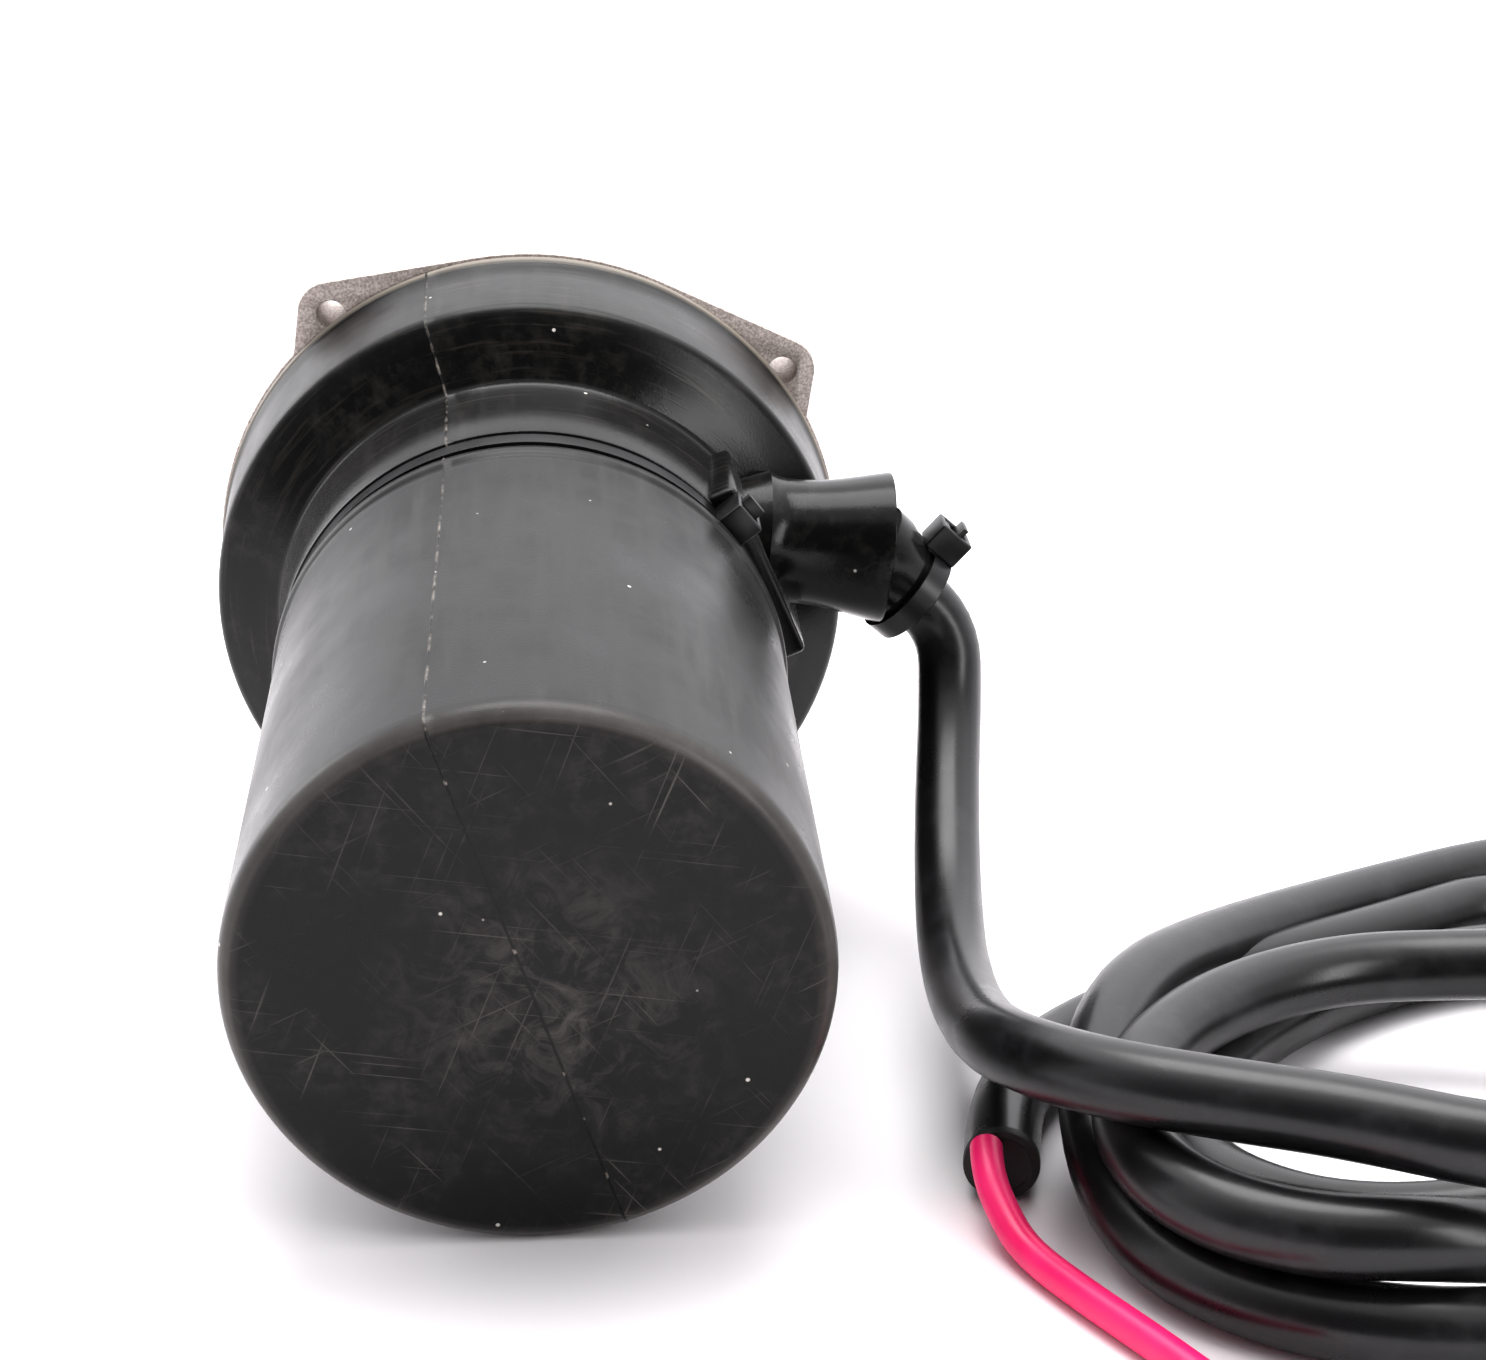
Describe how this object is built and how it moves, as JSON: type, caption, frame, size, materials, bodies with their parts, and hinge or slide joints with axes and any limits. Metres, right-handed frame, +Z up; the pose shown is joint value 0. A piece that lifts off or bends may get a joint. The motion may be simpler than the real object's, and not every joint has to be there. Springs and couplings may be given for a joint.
{
  "type": "brushless outrunner motor",
  "caption": "Brushless outrunner motor in a moulded rubber boot, with an eared mounting flange, keyed shaft, side lead spout and a loosely coiled cable.",
  "frame": {"origin": "centre of the mounting plane, where the shaft axis crosses the front faces of the mounting posts", "axes": "+Z up; +Y along the shaft towards the output end, which is raised about 5.5 degrees because the motor lies on its flange rim and the edge of its domed end; +X towards the lead spout"},
  "size_m": [0.3879, 0.3199, 0.144],
  "materials": {
    "boot_rubber": "matte moulded rubber, a little chalky",
    "cast_aluminium": "sand cast, speckled",
    "can_steel": "satin",
    "zinc_steel": "zinc plated",
    "ground_steel": "ground",
    "turned_aluminium": "turned",
    "flux_steel": "turned, oiled",
    "nickel_plate": "nickel plated",
    "bearing_steel": "ground",
    "ball_steel": "polished",
    "cage_plastic": "moulded nylon",
    "spring_steel": "phosphated",
    "seal_rubber": "matte",
    "lamination_steel": "lacquered",
    "insulator_plastic": "moulded",
    "enamelled_copper": "enamelled winding wire",
    "wire_red": "silicone",
    "wire_yellow": "silicone",
    "wire_blue": "silicone",
    "cable_rubber": "satin",
    "core_red": "soft satin",
    "tie_nylon": "satin nylon"
  },
  "bodies": {
    "housing": {"bearing_spacer_outer": "turned_aluminium", "boot_tie_head": "tie_nylon", "boot_tie_strap": "tie_nylon", "cable_coil": "cable_rubber", "cable_lead": "cable_rubber", "cable_tail": "cable_rubber", "can_screws": "zinc_steel", "coils_phase_a": "enamelled_copper", "coils_phase_b": "enamelled_copper", "coils_phase_c": "enamelled_copper", "core_red": "core_red", "front_bearing_outer_ring": "bearing_steel", "front_housing": "cast_aluminium", "guard_can": "can_steel", "insulator_front": "insulator_plastic", "insulator_rear": "insulator_plastic", "lead_grommet": "seal_rubber", "lead_root": "cable_rubber", "phase_wire_a": "wire_red", "phase_wire_b": "wire_yellow", "phase_wire_c": "wire_blue", "rear_bearing_clip": "spring_steel", "rear_bearing_outer_ring": "bearing_steel", "rubber_boot": "boot_rubber", "shaft_seal": "seal_rubber", "spout_tie_head": "tie_nylon", "spout_tie_strap": "tie_nylon", "stator_clip": "spring_steel", "stator_core": "lamination_steel"},
    "rotor": {"shaft": "ground_steel", "rotor_bell": "turned_aluminium", "flux_ring": "flux_steel", "magnets": "nickel_plate", "bell_locknut": "zinc_steel", "bearing_spacer_inner": "turned_aluminium", "front_bearing_inner_ring": "bearing_steel", "rear_bearing_inner_ring": "bearing_steel"},
    "front_cage": {"front_bearing_balls": "ball_steel", "front_bearing_cage": "cage_plastic"},
    "rear_cage": {"rear_bearing_balls": "ball_steel", "rear_bearing_cage": "cage_plastic"}
  },
  "joints": [
    {"name": "rotor_spin", "type": "hinge", "parent": "housing", "child": "rotor", "pos_m": [0, 0, 0], "axis": [0, 0.9954, 0.0961], "continuous": true},
    {"name": "front_cage_spin", "type": "hinge", "parent": "housing", "child": "front_cage", "pos_m": [0, 0, 0], "axis": [0, 0.9954, 0.0961], "continuous": true},
    {"name": "rear_cage_spin", "type": "hinge", "parent": "housing", "child": "rear_cage", "pos_m": [0, 0, 0], "axis": [0, 0.9954, 0.0961], "continuous": true}
  ],
  "couplings": [
    {"joint": "front_cage_spin", "follows": "rotor_spin", "ratio": 0.38158},
    {"joint": "rear_cage_spin", "follows": "rotor_spin", "ratio": 0.38158}
  ]
}
